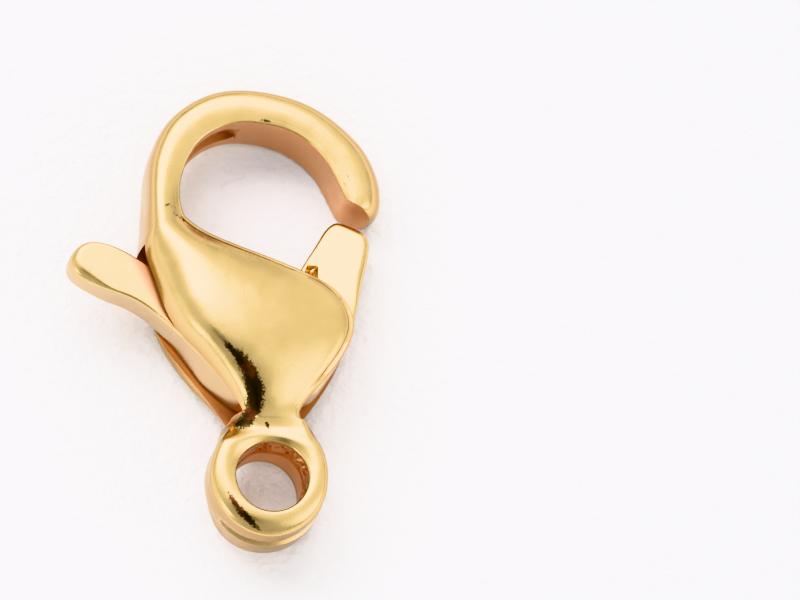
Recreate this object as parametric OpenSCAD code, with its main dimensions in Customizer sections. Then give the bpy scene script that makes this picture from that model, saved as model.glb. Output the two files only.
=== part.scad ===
// Lobster clasp with a sprung thumb lever, lying on a table, tab side raised.
// Lengths are in millimetres. The clasp is drawn flat about the centre of its eye,
// x across, y from the eye to the hook, z through the thickness, and is then laid down.

/* [Hook] */
// Distance from the middle of the eye to the middle of the throat
throat_rise = 7.45; // [6.9:0.05:8.2]
// How far the throat sits to the side of the eye
throat_shift = -0.35; // [-0.6:0.05:0]
// Radius of the throat that a ring is caught in
throat_r = 2.07; // [1.9:0.01:2.4]
// Width of the hook's bar, seen from the front
bar_w = 1.05; // [0.8:0.01:1.25]
// Thickness of the hook's bar, front to back
hook_t = 1.95; // [1.8:0.01:2.3]

/* [Body] */
// Width of the swollen body across both shells
body_w = 5.6; // [5.3:0.05:6.2]
// Greatest thickness of the body, front to back
body_t = 3.24; // [2.9:0.02:3.5]
// Width of the slot that the lever swings in
slot_w = 1.44; // [1.3:0.01:1.5]
// Width of the flat bevel round the rim of each shell
rim_w = 0.13; // [0.05:0.01:0.2]

/* [Eye] */
// Outer diameter of the eye
eye_d = 3.06; // [2.9:0.02:3.4]
// How far the outside of the eye sits below its hole
eye_drop = 0.05; // [0:0.01:0.1]
// Diameter of the hole in the eye
eye_hole_d = 1.86; // [1.5:0.01:2]
// Thickness of the eye, front to back
eye_t = 2.16; // [1.9:0.02:2.4]
// Width of the round between the eye's face and its outside
eye_round = 0.42; // [0.3:0.01:0.5]
// How much smaller the back ring of the eye is than its front ring
eye_step = 0.04; // [0:0.01:0.08]
// Depth of the crease left by the mould round the end of the eye
crease_depth = 0.14; // [0.05:0.01:0.2]
// Sweep of the crease round the eye, in degrees
crease_sweep = 116; // [80:1:150]
// How far the crease sits behind the middle of the eye
crease_drop = 0.12; // [0:0.01:0.3]

/* [Lever] */
// Thickness of the lever
lever_t = 1.2; // [1:0.01:1.25]
// Direction of the thumb tab from the pivot, in degrees
tab_angle = 149.9; // [148:0.1:151]
// Distance from the pivot to the end of the thumb tab
tab_reach = 5.8; // [5.4:0.02:6.4]
// Width of the thumb tab
tab_w = 1.15; // [0.9:0.01:1.3]
// Width of the finger that closes the throat
finger_w = 1.15; // [0.9:0.01:1.25]
// Radius of the lever's round heel about the pivot
heel_r = 0.84; // [0.7:0.01:0.9]
// Width of the bevel along the lever's edges
lever_bevel = 0.14; // [0.05:0.01:0.2]

/* [Pivot] */
// Diameter of the pivot pin
pin_d = 0.8; // [0.5:0.01:1]
// Depth that the pin reaches into each shell
pin_seat = 0.3; // [0.2:0.01:0.35]
// Radial clearance of the pin in the shells
seat_clearance = 0.01; // [0.005:0.005:0.02]
// Radial clearance of the lever on the pin
pivot_clearance = 0.03; // [0.02:0.005:0.06]

/* [Spring] */
// Thickness of the spring strip
spring_t = 0.16; // [0.1:0.01:0.2]
// Width of the spring strip
spring_w = 0.9; // [0.7:0.01:1]
// Clearance between the spring and the metal that it lies on
spring_gap = 0.03; // [0.01:0.01:0.06]
// Depth of the groove for the spring in the hook's inner wall
groove_depth = 0.22; // [0.18:0.01:0.3]

/* [Lie] */
// Roll that raises the tab side, in degrees
lie_roll = 8.8; // [0:0.1:20]
// Pitch that raises the hook end, in degrees
lie_pitch = -2; // [-5:0.1:5]

/* [Hidden] */
$fn = 64;
half_hook = hook_t / 2;
half_body = body_t / 2;
half_eye = eye_t / 2;
half_slot = slot_w / 2;
throat = [throat_shift, throat_rise];
pivot = [-0.018 * body_w, 0.365 * throat_rise];
gold = "goldenrod";
pale_gold = "khaki";
// Steps of the smooth curve between two rows of a table
row_steps = 3;
// Roundness of the outer edges: 2 is an ellipse, more is squarer
squareness = 2.4;
// Bulge of the faces from the rim to the crest: 1 is flat, more is rounder
face_bulge = 1.5;
// Straight share of the eye's outside edge
eye_flat = 0.3;
// Half width of the crease over its depth
crease_flare = 0.65;
// Small round on the hook's inner edges
hook_round = 0.05;

// Sections of the hook, from its tip round to its root. Columns: angle of the inner edge about the
// throat, its radius over throat_r, direction from the inner to the outer edge, width over bar_w,
// rim height over half_hook, crest height over half_hook, place of the crest across the width.
hook_rows = [
    [3, 1.085, -26, 1.00, 0.90, 0.93, 0.35],
    [9, 1.04, -12, 1.12, 0.91, 0.95, 0.38],
    [20, 1.00, 8, 1.18, 0.92, 0.96, 0.40],
    [36, 0.99, 28, 1.12, 0.94, 0.98, 0.42],
    [60, 0.972, 57, 1.00, 0.95, 1.00, 0.42],
    [85, 0.965, 85, 0.95, 0.95, 1.00, 0.42],
    [110, 1.01, 112, 0.95, 0.95, 1.00, 0.45],
    [135, 1.032, 138, 0.88, 0.95, 1.00, 0.48],
    [158, 1.00, 160, 0.78, 0.95, 1.02, 0.50],
    [178, 1.00, 181, 0.70, 0.95, 1.06, 0.52]
];

// Sections of the body, from the hook's root to the eye. Columns: x and y of the right or top edge,
// x and y of the left edge, with x over body_w and y over throat_rise; rim height over half_hook,
// crest height over half_body, place of the crest across the width, then width beyond rim_w and
// depth of the round on the right edge over half_eye.
body_rows = [
    [-0.416, 0.934, -0.584, 0.878, 1.02, 0.74, 0.60, -0.02, 0.10],
    [-0.394, 0.910, -0.594, 0.829, 1.02, 0.78, 0.66, 0.00, 0.12],
    [-0.312, 0.869, -0.592, 0.772, 1.02, 0.83, 0.72, 0.00, 0.12],
    [-0.166, 0.827, -0.569, 0.722, 1.02, 0.88, 0.77, 0.00, 0.12],
    [0.089, 0.760, -0.535, 0.655, 1.02, 0.95, 0.81, 0.00, 0.12],
    [0.289, 0.689, -0.504, 0.593, 1.02, 1.00, 0.84, 0.01, 0.14],
    [0.381, 0.586, -0.438, 0.511, 1.01, 1.00, 0.86, 0.03, 0.20],
    [0.355, 0.483, -0.365, 0.450, 1.00, 0.95, 0.86, 0.03, 0.20],
    [0.266, 0.366, -0.266, 0.370, 0.99, 0.86, 0.82, 0.02, 0.16],
    [0.182, 0.275, -0.184, 0.285, 0.99, 0.77, 0.74, 0.02, 0.16],
    [0.157, 0.226, -0.164, 0.224, 1.00, 0.72, 0.65, 0.06, 0.26],
    [0.200, 0.165, -0.240, 0.165, 1.00, 0.70, 0.55, 0.14, 0.50],
    [0.240, 0.110, -0.264, 0.110, 1.00, 0.70, 0.50, 0.20, 0.72],
    [0.258, 0.050, -0.268, 0.050, 1.00, 0.70, 0.50, 0.24, 0.80]
];

// Outline of the slot, from its root round the body. Columns: x over body_w, y over throat_rise.
slot_outline = [
    [-0.75, 0.750],
    [-0.594, 0.825],
    [-0.394, 0.919],
    [-0.34, 0.944],
    [0.00, 0.870],
    [0.60, 0.800],
    [0.60, 0.236],
    [-0.60, 0.236],
    [-0.80, 0.600]
];
// Station along the strap that the spring's groove starts at
groove_start = 17;

// Sections of the thumb tab, from its end to the body. Columns: distance from the pivot over
// tab_reach, then the lower and the upper edge over tab_w.
tab_rows = [
    [1.010, 0.07, 0.27],
    [0.995, -0.04, 0.44],
    [0.965, -0.13, 0.60],
    [0.915, -0.16, 0.74],
    [0.850, -0.14, 0.82],
    [0.770, -0.07, 0.85],
    [0.690, 0.00, 0.87],
    [0.600, 0.00, 0.90],
    [0.500, -0.09, 0.90],
    [0.400, -0.23, 0.83],
    [0.310, -0.36, 0.74]
];
// Sections of the finger, from the body to its end. Columns: distance from the pivot over the
// distance to the hook's tip, then the right and the left edge over finger_w.
finger_rows = [
    [0.284, 1.36, -0.17],
    [0.426, 1.325, -0.17],
    [0.591, 1.19, -0.16],
    [0.742, 1.09, -0.08],
    [0.840, 1.00, -0.05],
    [0.888, 0.90, 0.02],
    [0.912, 0.74, 0.16]
];
// Outer edge round the lever's heel. Columns: angle about the pivot, radius over heel_r.
heel_rows = [
    [212, 1.00],
    [232, 1.00],
    [252, 1.00],
    [272, 1.00],
    [292, 1.00],
    [310, 1.05],
    [326, 1.18],
    [340, 1.40],
    [351, 1.66]
];

// Radius of the bend between the tab and the finger
saddle_r = 0.11;
// How far the finger's inner edge lies inside its line, over finger_w
finger_inset = 0.17;

// Stations along the strap where the spring lies on the floor of its groove
wall_span = [27, 30];
// Free path of the spring. Columns: x over body_w, y over throat_rise.
spring_leg = [[-0.30, 0.80], [-0.19, 0.68], [-0.10, 0.585], [-0.052, 0.545], [-0.01, 0.56], [0.03, 0.61]];
// Finger stations, in shares of the finger's line, that the spring's other leg lies along
spring_reach = [0.47, 0.53, 0.59];

function turn(v) = [v[1], -v[0]];
function unit(v) = v / norm(v);
function at_angle(a) = [cos(a), sin(a)];

// Catmull-Rom curve through rows of any length, with its ends carried on straight
function curve_point(a, b, c, d, t) =
    0.5 * (2 * b + (c - a) * t + (2 * a - 5 * b + 4 * c - d) * t * t + (3 * b - a - 3 * c + d) * t * t * t);
function curve(rows, steps) =
    let (last = len(rows) - 1)
    let (p = concat([2 * rows[0] - rows[1]], rows, [2 * rows[last] - rows[last - 1]]))
    concat(
        [for (i = [0:last - 1], k = [0:steps - 1]) curve_point(p[i], p[i + 1], p[i + 2], p[i + 3], k / steps)],
        [rows[last]]
    );

// A section: inner x and y, outer x and y, rim height, crest height, crest place, round width and depth
function hook_section(r) =
    let (inner = throat + throat_r * r[1] * at_angle(r[0]))
    let (outer = inner + bar_w * r[3] * at_angle(r[2]))
    [inner[0], inner[1], outer[0], outer[1], half_hook * r[4], half_hook * r[5], r[6], hook_round, hook_round];
function body_section(r) = [
    body_w * r[0], throat_rise * r[1], body_w * r[2], throat_rise * r[3],
    half_hook * r[4], half_body * r[5], r[6], rim_w + half_eye * r[7], half_eye * r[8]
];
sections = curve(concat([for (r = hook_rows) hook_section(r)], [for (r = body_rows) body_section(r)]), row_steps);

face_steps = 3;
round_steps = 5;
// Places across a section and heights there, over its front half, from the inner to the outer edge
function half_profile(s) =
    let (w = norm([s[2] - s[0], s[3] - s[1]]), crest = s[6] * w)
    concat(
        [for (i = [0:2]) let (a = 45 * i) [s[7] * (1 - cos(a)), s[4] - s[8] * (1 - sin(a))]],
        [for (i = [1:face_steps]) let (u = i / face_steps)
            [s[7] + (crest - s[7]) * u, s[5] - (s[5] - s[4]) * pow(1 - u, face_bulge)]],
        [for (i = [1:round_steps]) let (a = 90 * i / round_steps)
            [crest + (w - crest) * pow(sin(a), 2 / squareness), s[5] * pow(max(cos(a), 0), 2 / squareness)]]
    );
function ring_of(s) =
    let (front = half_profile(s), n = len(front), dir = unit([s[2] - s[0], s[3] - s[1]]))
    let (loop = concat([for (p = front) [p[0], -p[1]]], [for (i = [n - 2:-1:0]) front[i]]))
    [for (p = loop) [s[0] + dir[0] * p[0], s[1] + dir[1] * p[0], p[1]]];
// Solid through rings of equal length, closed at both ends
module skin(rings) {
    n = len(rings[0]);
    last = len(rings) - 1;
    sides = [for (i = [0:last - 1], j = [0:n - 1])
        let (a = i * n + j, b = i * n + (j + 1) % n) each [[a, b, a + n], [b, b + n, a + n]]];
    first_cap = [for (j = [1:n - 2]) [0, j + 1, j]];
    last_cap = [for (j = [1:n - 2]) [last * n, last * n + j, last * n + j + 1]];
    polyhedron([for (r = rings) each r], concat(sides, first_cap, last_cap));
}

// Everything is drawn flat and laid down about the middle of the eye
module laid() {
    rotate([lie_pitch, lie_roll, 0]) children();
}

module strap() {
    skin([for (s = sections) ring_of(s)]);
}

// The eye: a fuller front ring and a slimmer back ring, each with a rounded outside
module eye_ring() {
    r = eye_d / 2;
    front = [for (a = [0:15:90]) [r - eye_round * (1 - sin(a)), half_eye * (eye_flat + (1 - eye_flat) * cos(a))]];
    back = [for (i = [len(front) - 1:-1:0]) [front[i][0] - eye_step, -front[i][1]]];
    translate([0, -eye_drop, 0]) rotate_extrude()
        polygon(concat([[eye_hole_d / 4, half_eye]], front, back, [[eye_hole_d / 4, -half_eye]]));
}

// Plan of everything that the slot takes away
module slot_plan() {
    polygon([for (p = slot_outline) [body_w * p[0], throat_rise * p[1]]]);
}

// Plan of the groove in the hook's inner wall, following its inner edge
module groove_plan() {
    stations = [for (i = [groove_start:wall_span[1] + row_steps]) sections[i]];
    inner = [for (s = stations) [s[0], s[1]]];
    dirs = [for (s = stations) unit([s[2] - s[0], s[3] - s[1]])];
    n = len(stations);
    polygon(concat(
        [for (i = [0:n - 1]) inner[i] + groove_depth * dirs[i]],
        [for (i = [n - 1:-1:0]) inner[i] - groove_depth * dirs[i]]
    ));
}

// Crease round the end of the eye, a groove with straight flanks
module crease() {
    r = eye_d / 2;
    flare = 2 * crease_depth * crease_flare;
    translate([0, -eye_drop, 0]) rotate([0, 0, 270 - crease_sweep / 2]) rotate_extrude(angle = crease_sweep)
        polygon([
            [r - crease_depth, -crease_drop],
            [r + crease_depth, flare - crease_drop],
            [r + crease_depth, -flare - crease_drop]
        ]);
}

module body() {
    seat_r = pin_d / 2 + seat_clearance;
    seat_h = slot_w + 2 * pin_seat + 2 * seat_clearance;
    color(gold) laid() difference() {
        union() {
            strap();
            eye_ring();
        }
        cylinder(d = eye_hole_d, h = 2 * eye_t, center = true);
        translate([0, 0, -half_slot]) linear_extrude(slot_w) slot_plan();
        translate([0, 0, -(spring_w / 2 + spring_gap)]) linear_extrude(spring_w + 2 * spring_gap) groove_plan();
        translate([pivot[0], pivot[1], -seat_h / 2]) cylinder(r = seat_r, h = seat_h);
        crease();
    }
}

hook_tip = [sections[0][0], sections[0][1]];
tab_line = at_angle(tab_angle);
finger_line = unit(hook_tip - pivot);
finger_reach = norm(hook_tip - pivot);
// Middle of the bend between tab and finger, where the lever's inner edge turns
saddle = [-0.035 * body_w, 0.487 * throat_rise];

// Lever sections: outer edge point, then inner edge point, from the tab round the heel to the finger
lever_sections = concat(
    curve([for (r = tab_rows) let (foot = pivot + tab_reach * r[0] * tab_line)
        concat(foot + tab_w * r[1] * turn(tab_line), foot + tab_w * r[2] * turn(tab_line))], 2),
    [for (r = heel_rows) concat(pivot + heel_r * r[1] * at_angle(r[0]), saddle + saddle_r * at_angle(r[0]))],
    curve([for (r = finger_rows) let (foot = pivot + finger_reach * r[0] * finger_line)
        concat(foot + finger_w * r[1] * turn(finger_line), foot + finger_w * r[2] * turn(finger_line))], 3)
);

function lever_ring(s) =
    let (outer = [s[0], s[1]], inner = [s[2], s[3]], d = unit(inner - outer) * lever_bevel, h = lever_t / 2)
    let (k = h - lever_bevel)
    [for (p = [[outer, -k], [outer, k], [outer + d, h], [inner - d, h], [inner, k], [inner, -k], [inner - d, -h], [outer + d, -h]])
        [p[0][0], p[0][1], p[1]]];

module lever() {
    color(pale_gold) laid() difference() {
        skin([for (s = lever_sections) lever_ring(s)]);
        translate([pivot[0], pivot[1], -lever_t]) cylinder(r = pin_d / 2 + pivot_clearance, h = 2 * lever_t);
    }
}

module pivot_pin() {
    length = slot_w + 2 * pin_seat;
    color(gold) laid() translate([pivot[0], pivot[1], -length / 2]) cylinder(d = pin_d, h = length);
}

module spring() {
    offset_in = spring_gap + spring_t / 2;
    wall = [for (i = wall_span) let (s = sections[i], dir = unit([s[2] - s[0], s[3] - s[1]]))
        [s[0], s[1]] + (groove_depth - offset_in) * dir];
    bend = [for (p = spring_leg) [body_w * p[0], throat_rise * p[1]]];
    finger = [for (a = spring_reach)
        pivot + finger_reach * a * finger_line - (finger_inset * finger_w + offset_in) * turn(finger_line)];
    path = curve(concat(wall, bend, finger), 4);
    n = len(path);
    side = [for (i = [0:n - 1]) turn(unit(path[min(i + 1, n - 1)] - path[max(i - 1, 0)])) * spring_t / 2];
    color(gold) laid() translate([0, 0, -spring_w / 2]) linear_extrude(spring_w)
        polygon(concat([for (i = [0:n - 1]) path[i] + side[i]], [for (i = [n - 1:-1:0]) path[i] - side[i]]));
}

body();
lever();
pivot_pin();
spring();
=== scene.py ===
from math import cos, radians, sin

import bmesh
import bpy
import numpy as np
from mathutils import Matrix, Vector
from mathutils.geometry import delaunay_2d_cdt


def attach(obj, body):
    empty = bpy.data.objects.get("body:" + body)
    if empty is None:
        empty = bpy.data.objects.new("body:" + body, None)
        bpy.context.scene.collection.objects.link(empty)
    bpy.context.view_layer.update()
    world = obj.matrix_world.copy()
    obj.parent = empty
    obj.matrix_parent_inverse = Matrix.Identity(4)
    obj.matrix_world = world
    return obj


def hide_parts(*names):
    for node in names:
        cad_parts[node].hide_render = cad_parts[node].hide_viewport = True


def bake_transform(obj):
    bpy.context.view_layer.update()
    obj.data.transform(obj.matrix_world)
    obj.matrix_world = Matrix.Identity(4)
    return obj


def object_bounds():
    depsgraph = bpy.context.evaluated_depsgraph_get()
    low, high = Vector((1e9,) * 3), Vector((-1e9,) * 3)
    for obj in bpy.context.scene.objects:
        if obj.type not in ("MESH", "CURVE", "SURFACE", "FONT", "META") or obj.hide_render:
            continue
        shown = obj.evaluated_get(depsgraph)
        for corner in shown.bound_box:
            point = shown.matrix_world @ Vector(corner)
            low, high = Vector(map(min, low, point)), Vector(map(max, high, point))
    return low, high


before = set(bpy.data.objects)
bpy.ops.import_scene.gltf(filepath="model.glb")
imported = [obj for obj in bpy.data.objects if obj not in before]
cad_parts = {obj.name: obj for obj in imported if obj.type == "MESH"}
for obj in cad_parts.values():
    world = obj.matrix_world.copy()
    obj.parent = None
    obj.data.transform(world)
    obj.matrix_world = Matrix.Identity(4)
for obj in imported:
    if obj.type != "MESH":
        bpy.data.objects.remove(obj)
cad_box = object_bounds()

# Sizes in millimetres, drawn flat about the centre of the eye and then laid down by two turns: half
# thicknesses, widths of the body and of the hook's bar, the throat's middle and radius, the body's rim
# and the eye's hole
MM = 0.001
LIE_ROLL, LIE_PITCH = radians(8.8), radians(-2.0)
HALF_HOOK, HALF_BODY, HALF_EYE = 0.975, 1.62, 1.08
BODY_W, BAR_W = 5.6, 1.05
THROAT, THROAT_R = np.array([-0.35, 7.45]), 2.07
RIM_W, HOLE_R, LIP = 0.13, 0.93, 0.08
# Power of the superellipse on a section's left side: 2 gives an ellipse, more is squarer. The higher one
# holds on the hook's outer side and on the body's left side near the neck, within these row numbers.
SQUARENESS, SIDE_SQUARENESS = 2.4, 3.2
SQUARE_ROWS = ((14.5, 17.5, 19.4, 20.3), (3.0, 5.5, 8.5, 10.5))

# Hook, tip to root: angle and radius (over THROAT_R) of the inner edge, direction to the outer edge,
# width over BAR_W, rim and crest height over HALF_HOOK, place of the crest
HOOK = np.array([
    [3, 1.085, -31, 1.03, 0.90, 0.93, 0.35],
    [9, 1.04, -14, 1.13, 0.91, 0.95, 0.38],
    [20, 1.00, 8, 1.18, 0.92, 0.96, 0.40],
    [36, 0.99, 28, 1.12, 0.94, 0.98, 0.42],
    [60, 0.972, 57, 1.00, 0.95, 1.00, 0.42],
    [85, 0.965, 85, 0.95, 0.95, 1.00, 0.42],
    [110, 1.01, 112, 0.98, 0.95, 1.00, 0.48],
    [135, 1.032, 138, 0.95, 0.95, 1.00, 0.52],
    [158, 1.00, 160, 0.87, 0.95, 1.02, 0.55],
    [178, 1.00, 181, 0.76, 0.97, 1.10, 0.60],
])
# Body, hook to eye: right edge x and y, left edge x and y (over BODY_W and THROAT height), rim height over
# HALF_HOOK, crest height over HALF_BODY, place of the crest, width and depth of the right edge's round,
# then how far the front shell's right and left edges lie in, and the back shell's lie out, over BODY_W
BODY = np.array([
    [-0.416, 0.934, -0.584, 0.878, 1.02, 0.765, 0.64, -0.06, 0.05, 0, 0, 0, 0],
    [-0.394, 0.910, -0.594, 0.829, 1.02, 0.805, 0.58, -0.06, 0.06, 0, 0, 0, 0],
    [-0.312, 0.869, -0.592, 0.772, 1.02, 0.845, 0.52, -0.04, 0.08, 0, 0, 0, 0],
    [-0.166, 0.827, -0.569, 0.722, 1.02, 0.880, 0.58, -0.01, 0.11, 0, 0, 0, 0],
    [0.089, 0.760, -0.535, 0.655, 1.02, 0.935, 0.71, 0.00, 0.12, 0, 0, 0, 0],
    [0.289, 0.689, -0.504, 0.593, 1.02, 0.975, 0.78, 0.01, 0.14, 0, 0, 0, 0.030],
    [0.381, 0.586, -0.438, 0.511, 1.01, 0.98, 0.77, 0.03, 0.20, 0, 0, 0, 0.042],
    [0.355, 0.483, -0.365, 0.450, 1.00, 0.94, 0.745, 0.03, 0.20, 0, 0.008, 0, 0.056],
    [0.266, 0.366, -0.266, 0.370, 0.99, 0.83, 0.65, 0.02, 0.16, 0.016, 0.008, 0.010, 0.088],
    [0.182, 0.275, -0.184, 0.285, 0.99, 0.70, 0.56, 0.02, 0.16, 0.030, 0.010, 0.012, 0.085],
    [0.157, 0.226, -0.164, 0.224, 1.00, 0.625, 0.60, 0.06, 0.26, 0.026, 0.018, 0, 0.035],
    [0.200, 0.165, -0.240, 0.165, 1.00, 0.56, 0.58, 0.14, 0.50, 0, 0, 0, 0],
    [0.240, 0.110, -0.264, 0.110, 1.00, 0.61, 0.50, 0.20, 0.72, 0, 0, 0, 0],
    [0.258, 0.050, -0.268, 0.050, 1.00, 0.63, 0.50, 0.24, 0.80, 0, 0, 0, 0],
])
# Every gap between rows has ROW_STEPS stations. The hook's end is rounded over its first TIP_STEPS, by
# TIP_ROUND of its width, and HOOK_ROUND is the round of the hook's inner edge. The slot runs from SLOT_ROOT
# to SLOT_END, and NECK is the last station before the eye. From LEVEL_FROM on the sections run nearly
# straight across, and the eye's front reads them down to y = LOWEST.
ROW_STEPS, SECTION_PASSES = 12, 14
TIP_STEPS, TIP_ROUND, HOOK_ROUND = 22, 0.32, 0.05
SLOT_ROOT, SLOT_END, NECK = int(11.3 * ROW_STEPS), int(19.75 * ROW_STEPS), int(20.25 * ROW_STEPS)
LEVEL_FROM, LOWEST = int(18.5 * ROW_STEPS), 0.4
# The spring's groove in the hook's inner wall: first station, stations of its rounded start, depth and
# half width. Flank points below GROOVE_FLOOR lie on its floor, and those below GROOVE_EDGE are drawn
# together with it, to a half width of GROOVE_LEAST at its very start.
GROOVE_START, GROOVE_RISE, GROOVE_DEPTH, GROOVE_HALF = 5.67 * ROW_STEPS, 5.0, 0.22, 0.48
GROOVE_FLOOR, GROOVE_EDGE, GROOVE_LEAST = 0.475, 0.5, 0.02


def laid(points):
    """Turns flat points about X by the pitch and then about Y by the roll, and gives metres."""
    x, y, z = np.moveaxis(np.asarray(points, float), -1, 0)
    y, z = y * cos(LIE_PITCH) - z * sin(LIE_PITCH), y * sin(LIE_PITCH) + z * cos(LIE_PITCH)
    x, z = x * cos(LIE_ROLL) + z * sin(LIE_ROLL), -x * sin(LIE_ROLL) + z * cos(LIE_ROLL)
    return np.stack([x, y, z], -1) * MM


def unlaid(points):
    """Flat millimetre points from metres as the clasp lies: the two turns undone."""
    x, y, z = np.moveaxis(np.asarray(points, float), -1, 0) / MM
    x, z = x * cos(LIE_ROLL) - z * sin(LIE_ROLL), x * sin(LIE_ROLL) + z * cos(LIE_ROLL)
    y, z = y * cos(LIE_PITCH) + z * sin(LIE_PITCH), -y * sin(LIE_PITCH) + z * cos(LIE_PITCH)
    return np.stack([x, y, z], -1)


def curve(rows, steps):
    """Catmull-Rom curve through rows: each gap gets the same number of steps, the ends run on
    straight."""
    p = np.vstack([2 * rows[0] - rows[1], rows, 2 * rows[-1] - rows[-2]])
    t = np.linspace(0, 1, steps, endpoint=False)[None, :, None]
    a, b, c, d = (p[i:len(p) - 3 + i, None] for i in range(4))
    out = 0.5 * (2 * b + (c - a) * t + (2 * a - 5 * b + 4 * c - d) * t**2 + (3 * b - a - 3 * c + d) * t**3)
    return np.vstack([out.reshape(-1, rows.shape[1]), rows[-1]])


def softened(rows, passes):
    """Averages each row with its neighbours, (1, 2, 1) / 4, with both ends held, which irons out
    kinks."""
    rows = rows.copy()
    for _ in range(passes):
        rows[1:-1] = 0.25 * rows[:-2] + 0.5 * rows[1:-1] + 0.25 * rows[2:]
    return rows


def smoothstep(a, b, x):
    """0 below a, 1 above b, and 3t^2 - 2t^3 between them."""
    t = np.clip((x - a) / (b - a), 0, 1)
    return t * t * (3 - 2 * t)


def window(edges, x):
    """0 outside the first and last of four edges, 1 between the middle two, with smooth steps between."""
    first, full, last, end = edges
    return smoothstep(first, full, x) * smoothstep(end, last, x)


def hook_sections():
    """Hook rows as inner x y, outer x y, rim height, crest height, crest place, width and depth of the
    inner edge's round, and four zeros, since the hook's edges lie where its rows say."""
    a, r = np.radians(HOOK[:, 0]), HOOK[:, 1] * THROAT_R
    inner = THROAT + np.column_stack([r * np.cos(a), r * np.sin(a)])
    c, w = np.radians(HOOK[:, 2]), HOOK[:, 3] * BAR_W
    outer = inner + np.column_stack([w * np.cos(c), w * np.sin(c)])
    rest = np.tile([HOOK_ROUND, HOOK_ROUND, 0, 0, 0, 0], (len(a), 1))
    return np.column_stack([inner, outer, HALF_HOOK * HOOK[:, 4:6], HOOK[:, 6], rest])


def body_sections():
    """Body rows in the same columns as the hook's."""
    b = BODY
    return np.column_stack([
        BODY_W * b[:, 0], THROAT[1] * b[:, 1], BODY_W * b[:, 2], THROAT[1] * b[:, 3], HALF_HOOK * b[:, 4],
        HALF_BODY * b[:, 5], b[:, 6], RIM_W + HALF_EYE * b[:, 7], HALF_EYE * b[:, 8], BODY_W * b[:, 9:13],
    ])


def all_sections():
    """Every section from the hook's end to the eye: a Catmull-Rom curve through the rows, softened. At
    the hook's end the width grows along a quarter circle. The last column is the power of the left side's
    superellipse."""
    s = softened(curve(np.vstack([hook_sections(), body_sections()]), ROW_STEPS), SECTION_PASSES)
    away = 1 - np.arange(TIP_STEPS)[:, None] / TIP_STEPS
    inner, outer = s[:TIP_STEPS, 0:2], s[:TIP_STEPS, 2:4]
    s[:TIP_STEPS, 2:4] = inner + (outer - inner) * (1 - TIP_ROUND * (1 - np.sqrt(1 - away * away)))
    row = np.arange(len(s)) / ROW_STEPS
    squarer = sum(window(edges, row) for edges in SQUARE_ROWS)
    return np.column_stack([s, SQUARENESS + (SIDE_SQUARENESS - SQUARENESS) * squarer])


sections = all_sections()


def section_width(s):
    """Distance from a section's right or inner edge to its left or outer edge."""
    return np.hypot(s[..., 2] - s[..., 0], s[..., 3] - s[..., 1])


def section_line(s):
    """Unit direction from a section's right or inner edge to its left or outer edge."""
    return (s[:, 2:4] - s[:, 0:2]) / section_width(s)[:, None]


def face_height(x, s):
    """Height of the front face x millimetres in from the right edge of section s: an elliptic round, then
    a quarter sine up to the crest, then a superellipse down to the left edge."""
    w = section_width(s)
    rim, top, crest, rw, rd = s[..., 4], s[..., 5], s[..., 6] * w, s[..., 7], s[..., 8]
    low = rim - rd + rd * np.sqrt(np.clip(1 - (1 - np.clip(x / rw, 0, 1)) ** 2, 0, 1))
    mid = rim + (top - rim) * np.sin(0.5 * np.pi * np.clip((x - rw) / (crest - rw), 0, 1))
    t = np.clip((x - crest) / (w - crest), 0, 1)
    out = top * (1 - t ** s[..., 13]) ** (1 / s[..., 13])
    return np.where(x < rw, low, np.where(x < crest, mid, out))


def left_offset(z, s):
    """Distance from the right edge to the left flank at height z: the superellipse turned round."""
    w = section_width(s)
    crest = s[..., 6] * w
    return crest + (w - crest) * (1 - np.clip(np.abs(z) / s[..., 5], 0, 1) ** s[..., 13]) ** (1 / s[..., 13])


def right_offset(z, s):
    """How far the right flank lies in from the right edge at height z: 0, then along the round's
    ellipse."""
    rw, rd = s[..., 7], s[..., 8]
    q = np.clip((np.abs(z) - (s[..., 4] - rd)) / rd, 0, 1)
    return rw * (1 - np.sqrt(1 - q * q))


def grid_faces(rows, cols, start=0, closed=False):
    """Quads of a rows by cols grid of points numbered from start, row by row, wrapped round if closed."""
    wide = cols if closed else cols - 1
    i, j = np.meshgrid(np.arange(rows - 1), np.arange(wide), indexing="ij")
    k = (j + 1) % cols
    quads = np.stack([i * cols + j, i * cols + k, (i + 1) * cols + k, (i + 1) * cols + j], -1)
    return start + quads.reshape(-1, 4)


# Points nearer to each other than this, in metres, are one
MERGE = 2e-7


def closed_piece(name, points, groups, painted_recess_shade=None):
    """An object at the origin from points in metres and groups of faces. Points of no face are left out,
    doubles are merged and every face is turned outwards. The edges that don't lie between two faces are
    counted and printed."""
    used, index = np.unique(np.concatenate([g.ravel() for g in groups]), return_inverse=True)
    parts = np.split(index.ravel(), np.cumsum([g.size for g in groups])[:-1])
    faces = [face for part, g in zip(parts, groups) for face in part.reshape(g.shape).tolist()]
    mesh = bpy.data.meshes.new(name)
    mesh.from_pydata(points[used].tolist(), [], faces)
    # the painted shade of recesses is kept on the points as an attribute
    if painted_recess_shade is not None:
        mesh.attributes.new("painted_recess_shade", "FLOAT", "POINT").data.foreach_set("value", painted_recess_shade[used])
    bm = bmesh.new()
    bm.from_mesh(mesh)
    bmesh.ops.remove_doubles(bm, verts=bm.verts, dist=MERGE)
    bmesh.ops.recalc_face_normals(bm, faces=bm.faces)
    bm.to_mesh(mesh)
    bm.free()
    edges = np.empty(len(mesh.loops), np.int32)
    mesh.loops.foreach_get("edge_index", edges)
    print(name, len(mesh.polygons), "faces,", (np.bincount(edges) != 2).sum(), "open edges")
    piece = bpy.data.objects.new(name, mesh)
    bpy.context.collection.objects.link(piece)
    return piece


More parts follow.
